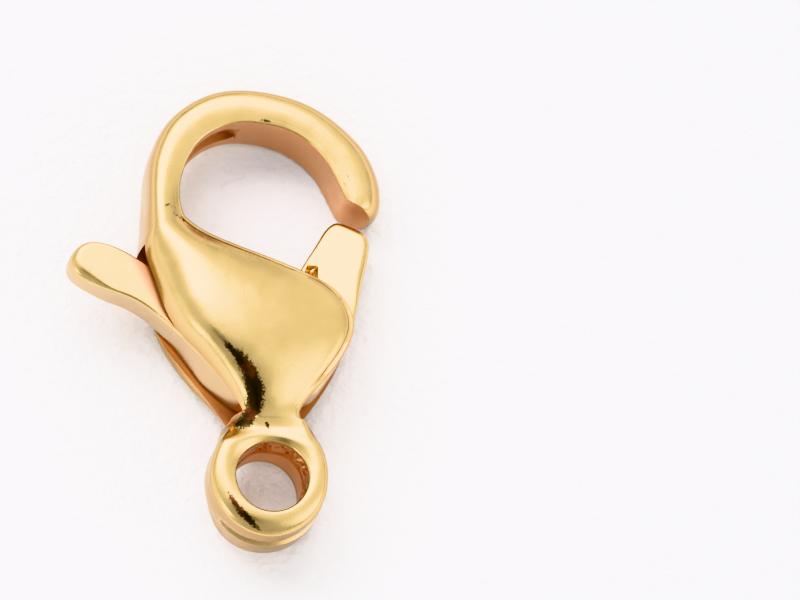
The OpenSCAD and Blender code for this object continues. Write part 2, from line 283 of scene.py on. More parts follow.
def solid(name, grids):
    """One closed piece from grids of flat millimetre points, each rows by columns, laid down and merged
    where they meet. A point's fourth value is its painted shade for recesses, and where grids meet the
    greatest counts."""
    points, faces, painted_recess_shade, start = [], [], [], 0
    for g in grids:
        points.append(laid(g[..., :3]).reshape(-1, 3))
        painted_recess_shade.append(g[..., 3].ravel() if g.shape[-1] > 3 else np.zeros(len(points[-1])))
        faces.append(grid_faces(g.shape[0], g.shape[1], start))
        start += len(points[-1])
    points, painted_recess_shade = np.vstack(points), np.concatenate(painted_recess_shade)
    same = np.unique(np.round(points, 9), axis=0, return_inverse=True)[1].ravel()
    greatest = np.zeros(same.max() + 1)
    np.maximum.at(greatest, same, painted_recess_shade)
    return closed_piece(name, points, [np.vstack(faces)], greatest[same])


def polished(piece, width=0.03, angle=38, segments=2):
    """Smooth faces with a small round along every edge sharper than the angle."""
    mesh = piece.data
    mesh.polygons.foreach_set("use_smooth", np.ones(len(mesh.polygons), bool))
    mesh.set_sharp_from_angle(angle=radians(angle))
    if width:
        bevel = piece.modifiers.new("edge_round", "BEVEL")
        bevel.width, bevel.segments, bevel.limit_method = width * MM, segments, "ANGLE"
        bevel.angle_limit = radians(angle)
        bevel.use_clamp_overlap = True
        bevel.harden_normals = True
    return piece


# Heights of the flank's rows of points, from the front edge to the back edge, on the hook and on the eye
HOOK_LEVELS = np.array([0.72, 0.62, 0.52, 0.485, 0.465, 0.40, 0.28, 0.14, 0.0])
HOOK_LEVELS = np.concatenate([HOOK_LEVELS, -HOOK_LEVELS[-2::-1]])
EYE_LEVELS = np.array([0.69, 0.55, 0.42, 0.32, 0.24, 0.19, 0.14, 0.10, 0.06,
                       0.02, -0.02, -0.07, -0.14, -0.24, -0.36, -0.52, -0.69])
# Least height of the front face's right edge, and the height of its left edge
EDGE_RIGHT, EDGE_LEFT = 0.745, 0.76
# The fine line along the belly's top rim and the hollow beside the bead on its right rim: the rows that
# each runs over, and how deep each sinks at its columns of points
LINE_ROWS, LINE_SINK = (10.3, 11.2, 14.0, 15.4), [0.006, 0.014, 0.006]
HOLLOW_ROWS, HOLLOW_SINK = (14.4, 15.6, 17.6, 18.6), [0.02, 0.06, 0.10, 0.09, 0.03]
# Heights over which the shells' edges move in at the front, and the start and length of that at the back
FRONT_SHIFT, BACK_SHIFT = (0.0, 0.7), (0.35, 0.75)
# Values of painted shade, by which the plating is painted redder and duller, and browner above 1,
# where shade and the gold's reflections of itself fall: along the hollow and the line, on the hook's
# inner wall, on the slot's right margins, walls and ends, and on the hook's end
HOLLOW_RED, LINE_RED = [1.6, 1.2, 0.5, 0.1], 0.8
INNER_RED, MARGIN_RED, WALL_RED, END_RED, TIP_RED, TIP_MIDDLE_RED = 0.884, 1.7, 1.0, 1.3, 0.9, 9.6
# The eye's front: radius, centre and height of its round crest line, radii of the arcs outside and inside
# it with the share of them that is used, then reach and lowest height of the turn down to the outline
EYE_CREST, EYE_CENTRE, EYE_TOP = 1.20, np.array([-0.05, 0.20]), 1.05
EYE_ARC, EYE_DISH, ARC_SHARE, EYE_EDGE, EYE_EDGE_Z = 0.70, 0.60, 0.9, 0.15, 0.75
# Where in y the eye's front turns into the neck's face, within which angle its flank does so, and how many
# rays leave the eye beside the neck
EYE_TO_NECK, FLANK_BLEND, EYE_RAYS = (0.85, 1.35), 0.55, 122
# The crease between the eye's two rings: height, depth, half width, its arc in degrees and the arc's middle
CREASE_Z, CREASE_DEEP, CREASE_HALF, CREASE_ARC, CREASE_MIDDLE = 0.06, 0.20, 0.13, 119, 275
# The eye's flank lies in by FLANK_IN at its edges, from the height FLANK_FROM on, and by RING_IN on the
# front ring's foot; the crease's ends are this soft, in degrees outside and inside its arc
FLANK_IN, FLANK_FROM, RING_IN, CREASE_ENDS = 0.03, 0.25, 0.04, (4, 8)
# The back ring is smaller at its left: by how much, at which angle and how widely
BACK_LESS, BACK_LESS_AT, BACK_LESS_WIDE = 0.19, 190, 38
# The eye's hole: height, depth and softness of the ledge, and by how much the ring behind it is narrower.
# Pits and grains: seed and number, and the ranges of their angle, height, size and depth, where a grain's
# depth is below 0.
LEDGE_Z, LEDGE_DEEP, LEDGE_SOFT, RING_STEP = 0.16, 0.07, 0.05, 0.035
PIT_SEED, PITS, PIT_RANGES = 7, 90, ((-45, 120), (0.22, 0.84), (0.04, 0.075), (-0.10, 0.13))


def outline_radius(angle):
    """Distance from the eye's centre to its pear-shaped outline: straight between angles, then
    softened."""
    at = np.array([-90, -45, 0, 20, 35, 47, 58, 122, 133, 145, 160, 180, 200, 225, 270])
    r = np.array([1.57, 1.51, 1.475, 1.52, 1.58, 1.66, 1.80, 1.80, 1.69, 1.64, 1.62, 1.62, 1.60, 1.58, 1.57])
    fine = np.arange(-90, 271, 1.0)
    smooth = softened(np.interp(fine, at, r), 30)
    return np.interp((np.asarray(angle) + 90) % 360 - 90, fine, smooth)


def neck_sections_at(y):
    """Sections of the neck read at y, as if each ran straight across from its right edge."""
    table = sections[LEVEL_FROM:]
    table = table[np.argsort(table[:, 1])]
    s = np.stack([np.interp(y, table[:, 1], column) for column in table.T], -1)
    s[..., 1] = s[..., 3] = y
    return s


def eye_front(x, y):
    """Height of the eye's front: circular arcs fall to both sides of a round crest line that lies off the
    hole's centre, a quarter ellipse turns down to the outline, and a smooth step in y blends all into the
    neck's face."""
    off = np.hypot(x - EYE_CENTRE[0], y - EYE_CENTRE[1]) - EYE_CREST
    outer, inner = np.clip(off, 0, ARC_SHARE * EYE_ARC), np.clip(-off, 0, ARC_SHARE * EYE_DISH)
    arc = EYE_TOP - EYE_ARC + np.sqrt(EYE_ARC**2 - outer**2) - EYE_DISH + np.sqrt(EYE_DISH**2 - inner**2)
    reach = outline_radius(np.degrees(np.arctan2(y, x))) - np.hypot(x, y)
    turn = np.sqrt(1 - (1 - np.clip(reach / EYE_EDGE, 0, 1)) ** 2)
    ring = EYE_EDGE_Z + (arc - EYE_EDGE_Z) * turn
    s = neck_sections_at(np.clip(y, LOWEST, None))
    neck = face_height(np.clip(s[..., 0] - x, 0, None), s)
    share = smoothstep(*EYE_TO_NECK, y)
    return (1 - share) * ring + share * neck


def with_painted_shade(grid, depth):
    """The grid with its painted shade value added to every point, as one number or an array."""
    return np.concatenate([grid, np.broadcast_to(depth, grid.shape[:2])[..., None]], -1)


def relaxed(face, passes=12, rim=6, fade=(20, 3)):
    """Evens out a face's heights: every pass moves each point halfway to the mean of its four neighbours.
    The first rim columns and the last two stay, and over the last stations a smooth step leads back to
    the face."""
    z = face[..., 2].copy()
    for _ in range(passes):
        mean = 0.25 * (z[:-2, 1:-1] + z[2:, 1:-1] + z[1:-1, :-2] + z[1:-1, 2:])
        z[1:-1, rim:-2] += 0.5 * (mean - z[1:-1, 1:-1])[:, rim - 1:-1]
    share = smoothstep(len(z) - fade[0], len(z) - fade[1], np.arange(len(z)))[:, None]
    z = z * (1 - share) + face[..., 2] * share
    return np.concatenate([face[..., :2], z[..., None]], -1)


def face_places(s, edge):
    """How far in from the right edge the front face's columns lie: 6 by even angles round the right
    edge's ellipse, from the edge's own height up, 4 close beside it, 18 evenly on to the crest and 12 by
    even angles along the left superellipse, down to the left edge's height."""
    w = section_width(s)
    crest = s[:, 6] * w
    start = np.arcsin(np.clip((edge - (s[:, 4] - s[:, 8])) / s[:, 8], 0, 1))[:, None]
    angle = start + (0.5 * np.pi - start) * np.linspace(0, 1, 6)
    on_round = s[:, 7:8] * (1 - np.cos(angle))
    beside_it = s[:, 7:8] + np.array([0.02, 0.04, 0.06, 0.09])
    slope = beside_it[:, -1:] + (crest - beside_it[:, -1])[:, None] * np.linspace(0, 1, 19)[1:]
    end = np.arccos(np.clip(EDGE_LEFT / s[:, 5], 0, 1) ** (s[:, 13] / 2))
    angle = end[:, None] * np.linspace(0, 1, 13)[1:]
    left = crest[:, None] + (w - crest)[:, None] * np.sin(angle) ** (2 / s[:, 13:14])
    return np.hstack([on_round, beside_it, slope, left])


def grooved(levels, x_right):
    """The right flank's heights and offsets with the spring's groove: points near its edges are drawn
    together to its half width, and those between them lie deeper. Both grow from the start along a circle
    and a root."""
    station, height = np.arange(len(levels))[:, None], np.abs(HOOK_LEVELS)[None, :]
    run = np.clip((station - GROOVE_START) / GROOVE_RISE, 0, 1)
    half = GROOVE_HALF * np.sqrt(np.clip(1 - (1 - run) ** 2, 0, 1))
    there = (station >= GROOVE_START) & (station <= SLOT_ROOT)
    drawn = levels * np.maximum(half, GROOVE_LEAST) / GROOVE_HALF
    deeper = x_right + GROOVE_DEPTH * np.sqrt(run)
    levels = np.where(there & (height < GROOVE_EDGE), drawn, levels)
    return levels, np.where(there & (height < GROOVE_FLOOR), deeper, x_right)


def shell_points(s, x, z):
    """Points of section s at the offsets x and heights z. The front shell's edges are moved in and the
    back shell's out, by shares that run evenly across the section and grow with the height."""
    share = x / section_width(s)[:, None]
    inward = s[:, 9:10] * (1 - share) - s[:, 10:11] * share
    outward = -s[:, 11:12] * (1 - share) + s[:, 12:13] * share
    back = np.clip((-z - BACK_SHIFT[0]) / BACK_SHIFT[1], 0, 1)
    x = x + np.where(z > 0, inward * smoothstep(*FRONT_SHIFT, z), outward * back)
    return np.concatenate([s[:, None, 0:2] + x[..., None] * section_line(s)[:, None, :], z[..., None]], -1)


def hook_end(front, back, left, right, share):
    """The hook's end between the first rings of its faces and flanks: flank joined to flank and face to
    face, both straight, less the plane between the four corners. Painted shade makes it reddest in the
    middle, by the product of the shares of the way from every edge."""
    share = share[None, :, None]
    down = np.linspace(0, 1, len(right))[:, None, None]
    flanks = right[:, None] * (1 - share) + left[:, None] * share
    faces = front[None] * (1 - down) + back[None] * down
    corners = flanks[:1] * (1 - down) + flanks[-1:] * down
    middle = (down * (1 - down) * share * (1 - share))[..., 0]
    return with_painted_shade(flanks + faces - corners, TIP_RED + TIP_MIDDLE_RED * middle)


def body_piece():
    """The cast body. Rings of points run round the section at every station from the hook's end to the
    neck: the front face by face_height, the flanks by their offsets, the back as the front mirrored.
    Between the slot's root and end the flanks between the shells are left out and flat walls close the
    shells. The eye's grids carry on from the neck's last ring. The line and the hollow sink the front by
    their rows' windows."""
    s = sections[:NECK + 1]
    edge = np.maximum(s[:, 4] - s[:, 8], EDGE_RIGHT)
    x_face = face_places(s, edge)
    z_face = face_height(x_face, s[:, None, :])
    z_face[:, 0], z_face[:, -1] = edge, EDGE_LEFT
    # the hook's flank levels turn into the eye's along the neck
    turn = smoothstep(SLOT_END, NECK, np.arange(len(s)))[:, None]
    levels = HOOK_LEVELS * (1 - turn) + EYE_LEVELS * turn
    x_left = left_offset(levels, s[:, None, :])
    levels_right, x_right = grooved(levels, right_offset(levels, s[:, None, :]))
    front, back = shell_points(s, x_face, z_face), shell_points(s, x_face, -z_face)
    left, right = shell_points(s, x_left, levels), shell_points(s, x_right, levels_right)
    left = np.concatenate([front[:, -1:], left, back[:, -1:]], 1)
    right = np.concatenate([front[:, :1], right, back[:, :1]], 1)
    front, back = relaxed(front), relaxed(back)
    row = np.arange(len(s))[:, None] / ROW_STEPS
    line, hollow = window(LINE_ROWS, row), window(HOLLOW_ROWS, row)
    front[:, 6:9, 2] -= line * LINE_SINK
    front[:, 2:7, 2] -= hollow * HOLLOW_SINK
    # painted shade: redder and browner along the hollow beside the bead and along the line
    depth = np.zeros(front.shape[:2])
    depth[:, :4] = hollow * HOLLOW_RED
    depth[:, 7] += LINE_RED * line[:, 0]
    grids = [with_painted_shade(front, depth), back]
    # flanks: whole on the hook and the neck, only the two margins along the slot
    a, b = SLOT_ROOT, SLOT_END
    # painted shade on the hook's inner wall and on the slot's right margins, walls and ends
    for side, inner, margin in ((left, 0.0, 0.0), (right, INNER_RED, MARGIN_RED)):
        grids += [with_painted_shade(side[:a + 1], inner), side[b:]]
        grids += [with_painted_shade(side[a:b + 1, :2], margin), with_painted_shade(side[a:b + 1, -2:], margin)]
    for column in (1, -2):
        grids.append(with_painted_shade(np.stack([right[a:b + 1, column], left[a:b + 1, column]], 1), WALL_RED))
    for station in (a, b):
        grids.append(with_painted_shade(np.stack([right[station, 1:-1], left[station, 1:-1]], 1), END_RED))
    grids.append(hook_end(front[0], back[0], left[0], right[0], x_face[0] / x_face[0, -1]))
    return grids + eye_grids(front[-1], back[-1], left[-1], right[-1])


def rough_hole(wall):
    """The eye's hole as cast, as a change of its radius: a groove along a wavy ledge, a bell curve of the
    height, with a narrower ring behind it, and seeded pits and grains over the upper right of the front
    ring, each a bell curve of the distance. A smooth step of the height fades all out at both ends of the
    wall."""
    angle, z = np.degrees(np.arctan2(wall[..., 1], wall[..., 0])), wall[..., 2]
    wave = 0.05 * np.sin(np.radians(3 * angle)) + 0.03 * np.sin(np.radians(7 * angle + 50))
    ledge = LEDGE_DEEP * np.exp(-((z - LEDGE_Z - wave) / LEDGE_SOFT) ** 2)
    narrower = RING_STEP * smoothstep(0.30, LEDGE_Z, z - wave) * (z > -0.5)
    rng = np.random.default_rng(PIT_SEED)
    at, height, size, deep = (rng.uniform(low, high, PITS) for low, high in PIT_RANGES)
    away = np.hypot(np.radians(angle[..., None] - at) * HOLE_R, z[..., None] - height)
    depth = ledge - narrower + (deep * np.exp(-(away / size) ** 2)).sum(-1)
    free = smoothstep(0.0, 0.14, np.minimum(z[:, :1] - z, z - z[:, -1:]))
    shift = 1 + free * depth / HOLE_R
    return wall * np.stack([shift, shift, np.ones_like(z)], -1)


def eye_flank(left, right, free):
    """The eye's flank along its free rays, on the outline. It is pulled in a little towards both edges,
    at the crease by a power of the closeness to its height, and at the back ring's left by a bell curve
    of the angle. A smooth step of the angle blends it into the neck's flanks. Also gives its painted
    shade, which darkens the crease."""
    deg = np.degrees(free)
    radial = np.column_stack([np.cos(free), np.sin(free)])
    rim = radial * outline_radius(deg)[:, None]
    levels = np.concatenate([[EYE_EDGE_Z], EYE_LEVELS, [-EYE_EDGE_Z]])
    edges = FLANK_IN * smoothstep(FLANK_FROM, EYE_EDGE_Z, np.abs(levels))
    arc = np.abs((deg - CREASE_MIDDLE + 180) % 360 - 180)[:, None]
    in_arc = smoothstep(CREASE_ARC / 2 + CREASE_ENDS[0], CREASE_ARC / 2 - CREASE_ENDS[1], arc)
    near = np.clip(1 - np.abs(levels - CREASE_Z) / CREASE_HALF, 0, 1)
    notch = CREASE_DEEP * near**0.8 + RING_IN * smoothstep(0.5, 0.1, levels) * (levels > 0)
    less = BACK_LESS * np.exp(-((deg[:, None] % 360 - BACK_LESS_AT) / BACK_LESS_WIDE) ** 2)
    depth = edges + in_arc * notch + less * smoothstep(0.05, -0.25, levels)
    plan = rim[:, None] - radial[:, None] * depth[..., None]
    side = np.concatenate([plan, np.broadcast_to(levels[:, None], (*depth.shape, 1))], -1)
    near_left = smoothstep(FLANK_BLEND, 0.0, free - free[0])[:, None, None]
    near_right = smoothstep(FLANK_BLEND, 0.0, free[-1] - free)[:, None, None]
    side = side + near_left * (left - side[0]) + near_right * (right - side[-1])
    return side, in_arc * near


def eye_grids(front, back, left, right):
    """Grids of the eye, on rays all the way round: two faces, straight in plan from the hole's lip to the
    outline or to the neck's last ring with heights by eye_front, quarter round lips, the rough hole and
    the flank."""
    top = np.arctan2(front[:, 1], front[:, 0])
    free = np.linspace(top[-1], top[0] + 2 * np.pi, EYE_RAYS)
    angle = np.concatenate([top, free[1:-1]])
    side, crease = eye_flank(left, right, free)
    unit = np.column_stack([np.cos(angle), np.sin(angle)])
    lip = (HOLE_R + LIP) * unit
    share = 1 - (1 - np.linspace(0, 1, 19)[None, :, None]) ** 1.5
    q = np.radians(np.linspace(0, 90, 5))[None, :, None]
    grids = []
    for sign, ring, edge in ((1, front, side[1:-1, 0]), (-1, back, side[1:-1, -1])):
        outer = np.concatenate([ring, edge])
        plan = lip[:, None] + (outer[:, :2] - lip)[:, None] * share
        z = sign * eye_front(plan[..., 0], plan[..., 1])
        z[:, -1] = outer[:, 2]
        face = np.concatenate([plan, z[..., None]], -1)
        face = np.concatenate([face, face[:1]])
        lip_plan = np.concatenate([unit, unit[:1]])[:, None] * (HOLE_R + LIP * (1 - np.cos(q)))
        grids += [face, np.concatenate([lip_plan, face[:, :1, 2:] - sign * LIP * (1 - np.sin(q))], -1)]
    down = np.linspace(0, 1, 61)[None, :, None]
    wall = grids[1][:, :1] * (1 - down) + grids[3][:, :1] * down
    # painted shade on the hole's wall, deepest between its two ends, and along the flank's crease
    grids.append(with_painted_shade(rough_hole(wall), smoothstep(0.95, 0.6, np.abs(wall[..., 2]))))
    return grids + [with_painted_shade(side, crease)]


# Lever: its pivot, the saddle between tab and finger, reach and width of its arms, radii of heel, saddle
# and bore, the tab's direction, and how far the finger's inner edge lies beside its line where the spring
# ends
PIVOT = np.array([-0.018 * BODY_W, 0.365 * THROAT[1]])
SADDLE = np.array([-0.035 * BODY_W, 0.487 * THROAT[1]])
TAB_REACH, TAB_W, FINGER_W, HEEL_R, SADDLE_R, BORE_R = 5.8, 1.15, 1.15, 0.84, 0.11, 0.43
TAB_ANGLE, FINGER_INSET = 149.9, 0.28
# Half thickness, width of the edges' quarter round, and that width on the tab's end and on the finger
LEVER_HALF, LEVER_BEVEL, TAB_ROLL, FINGER_BEVEL = 0.60, 0.08, 0.27, 0.19
# Spans of the smooth steps to those: distance from the tab's end, whose middle lies TIP_DROP lower than
# its line, and y and x on the finger
TIP_DROP, ROLL_SPAN, FINGER_Y, FINGER_X = 0.35, (1.25, 0.25), (4.6, 5.6), (0.9, 2.2)
# How much thinner the tab is, and where along it that grows, then the finger's slope and its middle
TAB_FALL, TAB_STEP = 0.14, (1.9, 3.3)
FINGER_TILT, FINGER_MIDDLE = np.array([0.0635, -0.046]), np.array([1.9, 6.1])
# The pocket: middle, half sizes, radius of its corners, depth, slope of its left side and thickness of
# its wall in plan, and the ridge on its floor: middle, direction across it, half width and share of the
# depth
POCKET, POCKET_HALF, POCKET_ROUND, POCKET_DEEP = np.array([1.105, 5.64]), np.array([0.142, 0.20]), 0.06, 0.22
POCKET_LEAN, POCKET_WALL = 0.4, 0.03
RIDGE, RIDGE_ACROSS, RIDGE_HALF, RIDGE_SHARE = POCKET + [-0.05, 0.02], np.array([0.75, -0.66]), 0.06, 0.6
# The heel's draft: windows of the angle about the pivot and of the distance from it, and the slope in plan
DRAFT_TURN, DRAFT_REACH, DRAFT = (150, 178, 225, 250), (0.5, 0.75, 2.4, 3.2), 0.13 * np.array([0.72, 0.69])
# Rows over those lengths: the tab's from its end to the body, the heel's round the pivot as angle and
# radius, and the finger's to its end. Tab and finger rows give the distance out and the right and left
# edges.
TAB = np.array([
    [1.018, 0.10, 0.30], [1.006, -0.03, 0.48], [0.975, -0.15, 0.66], [0.920, -0.19, 0.79],
    [0.850, -0.16, 0.86], [0.770, -0.08, 0.88], [0.690, 0.00, 0.89], [0.600, 0.00, 0.90],
    [0.500, -0.09, 0.90], [0.400, -0.23, 0.83], [0.310, -0.42, 0.74], [0.220, -0.59, 0.66],
])
HEEL = np.array([
    [212, 1.095], [232, 0.95], [252, 0.92], [272, 1.00], [292, 1.00], [310, 1.05], [326, 1.18],
    [340, 1.40], [351, 1.66],
])
FINGER = np.array([
    [0.284, 1.36, -0.24], [0.426, 1.31, -0.28], [0.591, 1.17, -0.27], [0.730, 1.06, -0.18],
    [0.825, 0.97, -0.13], [0.878, 0.87, -0.04], [0.904, 0.70, 0.12],
])
tab_line = np.array([cos(radians(TAB_ANGLE)), sin(radians(TAB_ANGLE))])
finger_line = sections[0, :2] - PIVOT
finger_reach = np.hypot(*finger_line)
finger_line = finger_line / finger_reach


def beside(line, reach, width, rows):
    """Both edges of a straight arm: feet on its line plus the width times each edge, square to the
    line."""
    square = np.array([line[1], -line[0]])
    foot = PIVOT + reach * rows[:, :1] * line
    return foot + width * rows[:, 1:2] * square, foot + width * rows[:, 2:3] * square


def lever_outline(count=440):
    """The lever's closed outline, anticlockwise: a Catmull-Rom curve through its edge points,
    softened."""
    tab_low, tab_high = beside(tab_line, TAB_REACH, TAB_W, TAB)
    right, left = beside(finger_line, finger_reach, FINGER_W, FINGER)
    a = np.radians(HEEL[:, 0])
    heel = PIVOT + HEEL_R * HEEL[:, 1:] * np.column_stack([np.cos(a), np.sin(a)])
    saddle = SADDLE + SADDLE_R * np.array([[0.9, 0.3], [0, 1], [-0.75, 0.7]])
    p = np.vstack([tab_low, heel, right, left[::-1], saddle, tab_high[::-1]])
    loop = curve(np.vstack([p[-2:], p, p[:2]]), 24)[2 * 24:-24]
    return even_loop(loop, count, 5)


def even_loop(loop, count, passes):
    """Resamples a closed loop to evenly spaced points and averages each with its neighbours."""
    length = np.concatenate([[0], np.cumsum(np.hypot(*np.diff(loop, axis=0).T))])
    at = np.linspace(0, length[-1], count, endpoint=False)
    loop = np.column_stack([np.interp(at, length, loop[:, k]) for k in range(2)])
    for _ in range(passes):
        loop = 0.25 * np.roll(loop, 1, 0) + 0.5 * loop + 0.25 * np.roll(loop, -1, 0)
    return loop


def line_distance(points, line):
    """Shortest distance from each point to a polyline, with the side: positive on its left."""
    start, step = line[:-1], np.diff(line, axis=0)
    gap = points[:, None] - start
    t = np.clip((gap * step).sum(-1) / (step * step).sum(-1), 0, 1)
    off = gap - t[..., None] * step
    reach = np.hypot(off[..., 0], off[..., 1])
    k = reach.argmin(1)
    row = np.arange(len(points))
    return reach[row, k] * np.sign(step[k, 0] * gap[row, k, 1] - step[k, 1] * gap[row, k, 0])


def lever_fall(points):
    """How far the lever's front lies under its flat face: a smooth step down to the thinner tab, and a
    slight slope of the finger's end that fades in by smooth steps of x and y."""
    step = smoothstep(*TAB_STEP, (points - PIVOT) @ tab_line)
    slope = 0.06 - (points - FINGER_MIDDLE) @ FINGER_TILT
    return TAB_FALL * step + slope * smoothstep(4.2, 5.2, points[:, 1]) * smoothstep(-1.0, 0.4, points[:, 0])


def pocket_loop(inset):
    """The small pocket's outline beside the finger's inner edge, anticlockwise: a rectangle with round
    corners, whose left side leans with the finger's edge."""
    a = np.radians(np.arange(0, 360, 15))
    turn = np.column_stack([np.cos(a), np.sin(a)])
    corner = np.sign(np.roll(turn, -1, 0) + turn) * (POCKET_HALF - POCKET_ROUND)
    corner[:, 0] += POCKET_LEAN * (corner[:, 0] < 0) * (corner[:, 1] - POCKET_HALF[1])
    return POCKET + corner + (POCKET_ROUND - inset) * turn


def flat_mesh(loops, spacing=0.06):
    """Triangles between the loops: a constrained Delaunay net over their points and a staggered grid
    inside the first. Gives the points, the triangles and where each loop's points went."""
    outer = loops[0]
    low, high = outer.min(0), outer.max(0)
    x, y = np.meshgrid(np.arange(low[0], high[0], spacing), np.arange(low[1], high[1], spacing * 0.87))
    x[1::2] += spacing / 2
    grid = np.column_stack([x.ravel(), y.ravel()])
    closed = np.vstack([outer, outer[:1]])
    inside = line_distance(grid, closed) > 0.6 * spacing
    for loop in loops[1:]:
        inside &= np.abs(line_distance(grid, np.vstack([loop, loop[:1]]))) > 0.4 * spacing
    points, edges = np.vstack([*loops, grid[inside]]), []
    start = 0
    for loop in loops:
        n = len(loop)
        edges += [(start + k, start + (k + 1) % n) for k in range(n)]
        start += n
    made = delaunay_2d_cdt([Vector(p) for p in points.tolist()], edges, [list(range(len(outer)))], 1, 1e-6)
    where = np.full(len(points), -1)
    for new, olds in enumerate(made[3]):
        where[olds] = new
    return np.array([tuple(p) for p in made[0]]), np.array(made[2]), where


def lever_rings(loop):
    """The rings that join the lever's two faces: how far in from the outline, and how high, each of their
    points lies. A quarter round leads from the side wall to each face, and smooth steps widen it on the
    tab's end and on the finger."""
    end = PIVOT + TAB_REACH * tab_line - [0, TIP_DROP]
    on_end = smoothstep(*ROLL_SPAN, np.hypot(*(loop - end).T))[:, None]
    on_finger = (smoothstep(*FINGER_Y, loop[:, 1]) * smoothstep(*FINGER_X, loop[:, 0]))[:, None]
    bevel = LEVER_BEVEL + (TAB_ROLL - LEVER_BEVEL) * on_end + (FINGER_BEVEL - LEVER_BEVEL) * on_finger
    q = np.radians(np.linspace(0, 90, 7))
    inset, drop = softened_ring(bevel * (1 - np.cos(q))), bevel * (1 - np.sin(q))
    side = np.linspace(-1, 1, 7)[None, 1:-1] * (LEVER_HALF - bevel)
    z = np.concatenate([drop[:, ::-1] - LEVER_HALF, side, LEVER_HALF - drop], 1)
    return np.concatenate([inset[:, ::-1], 0 * side, inset], 1), z


def lever_front(points):
    """Height of the lever's front: flat, less its fall and the pocket's depth, which begins by a smooth
    step at the pocket's outline. The ridge on its floor is a bell curve of the distance from a slanting
    line."""
    middle = pocket_loop(POCKET_WALL / 2)
    inside = smoothstep(-0.01, 0.01, line_distance(points, np.vstack([middle, middle[:1]])))
    ridge = np.exp(-(((points - RIDGE) @ RIDGE_ACROSS) / RIDGE_HALF) ** 2)
    return LEVER_HALF - lever_fall(points) - POCKET_DEEP * inside * (1 - RIDGE_SHARE * ridge)


def drafted(verts):
    """Leans the heel's side wall in towards the front, like a cast piece's draft: within two windows the
    points move in plan by a slope times their height above the back."""
    away = verts[:, :2] - PIVOT
    turn = np.degrees(np.arctan2(away[:, 1], away[:, 0])) % 360
    lean = window(DRAFT_TURN, turn) * window(DRAFT_REACH, np.hypot(*away.T))
    plan = verts[:, :2] + (lean * (verts[:, 2] + LEVER_HALF))[:, None] * DRAFT
    return np.column_stack([plan, verts[:, 2]])


def lever_piece():
    """The lever: two faces on one triangle net, joined by rings that run square to the outline, with the
    pivot's bore through both. The front's height is lever_front, and on the rings its fall fades out down
    to the back by a smooth step of the height."""
    loop = lever_outline()
    tangent = np.roll(loop, -1, 0) - np.roll(loop, 1, 0)
    tangent /= np.hypot(*tangent.T)[:, None]
    inset, z = lever_rings(loop)
    plan = loop[:, None] + inset[..., None] * np.column_stack([-tangent[:, 1], tangent[:, 0]])[:, None]
    turn = np.radians(np.arange(0, 360, 10))
    bore = PIVOT + BORE_R * np.column_stack([np.cos(turn), np.sin(turn)])
    points, faces, where = flat_mesh([plan[:, -1], bore, pocket_loop(0), pocket_loop(POCKET_WALL)])
    # triangles whose middles lie inside the bore's circle are left out
    faces = faces[np.hypot(*(points[faces].mean(1) - PIVOT).T) > 0.99 * BORE_R]
    n = len(points)
    z = z - lever_fall(plan.reshape(-1, 2)).reshape(z.shape) * smoothstep(-LEVER_HALF, LEVER_HALF, z)
    rings = np.concatenate([plan, z[..., None]], -1).transpose(1, 0, 2).reshape(-1, 3)
    front = np.column_stack([points, lever_front(points)])
    back = np.column_stack([points, np.full(n, -LEVER_HALF)])
    hole = where[len(loop):len(loop) + len(bore)]
    following = np.roll(hole, -1)
    wall = np.column_stack([hole + n, following + n, following, hole])
    net = grid_faces(z.shape[1], len(loop), 2 * n, closed=True)
    verts = laid(drafted(np.vstack([front, back, rings])))
    return closed_piece("thumb_lever", verts, [faces, faces[:, ::-1] + n, net, wall])


def softened_ring(values, passes=3):
    """Averages each row with its two neighbours round a closed loop."""
    for _ in range(passes):
        values = 0.25 * np.roll(values, 1, 0) + 0.5 * values + 0.25 * np.roll(values, -1, 0)
    return values


def bar(path, width, thick, round_off=0.03):
    """Grids of a flat strip along a plan path: a rectangle with rounded corners, thick across the path
    and width through the clasp's thickness, carried along it and closed at both ends."""
    tangent = np.gradient(path, axis=0)
    tangent /= np.hypot(*tangent.T)[:, None]
    side = np.column_stack([tangent[:, 1], -tangent[:, 0]])
    h, t, r = width / 2, thick / 2, round_off
    k = r * (1 - np.sqrt(0.5))
    off = np.array([-t, -t + k, -t + r, 0, t - r, t - k, t])
    z = np.array([h - r, h - k, h, h, h, h - k, h - r])
    plan = path[:, None] + off[None, :, None] * side[:, None]
    top = np.concatenate([plan, np.repeat(z[None, :, None], len(path), 0)], -1)
    low = top * [1, 1, -1]
    sides = [np.stack([top[:, last], low[:, last]], 1) for last in (0, -1)]
    ends = [np.stack([top[last], low[last]]) for last in (0, -1)]
    return [top, low, *sides, *ends]


# The spring: thickness, width and its gap to the metal beside it, the rows where its leg lies in the
# groove, the places of its bend over BODY_W and THROAT height, and how far along the finger its end
# reaches
SPRING_T, SPRING_W, SPRING_GAP, SPRING_ROWS = 0.16, 0.9, 0.03, (9, 10)
SPRING_LEG = np.array([
    [-0.30, 0.80], [-0.19, 0.68], [-0.10, 0.585], [-0.052, 0.545], [-0.01, 0.56], [0.03, 0.61],
])
SPRING_REACH = np.array([0.47, 0.53, 0.59])


def spring_path():
    """The spring's middle line: along the floor of the groove, down to its bend and up the finger's inner
    edge, as a softened Catmull-Rom curve."""
    off = SPRING_GAP + SPRING_T / 2
    s = sections[[row * ROW_STEPS for row in SPRING_ROWS]]
    wall = s[:, :2] + (GROOVE_DEPTH - off) * section_line(s)
    bend = SPRING_LEG * [BODY_W, THROAT[1]]
    square = np.array([finger_line[1], -finger_line[0]])
    beside_it = (FINGER_INSET * FINGER_W + off) * square
    finger = PIVOT + finger_reach * SPRING_REACH[:, None] * finger_line - beside_it
    return softened(curve(np.vstack([wall, bend, finger]), 10), 12)
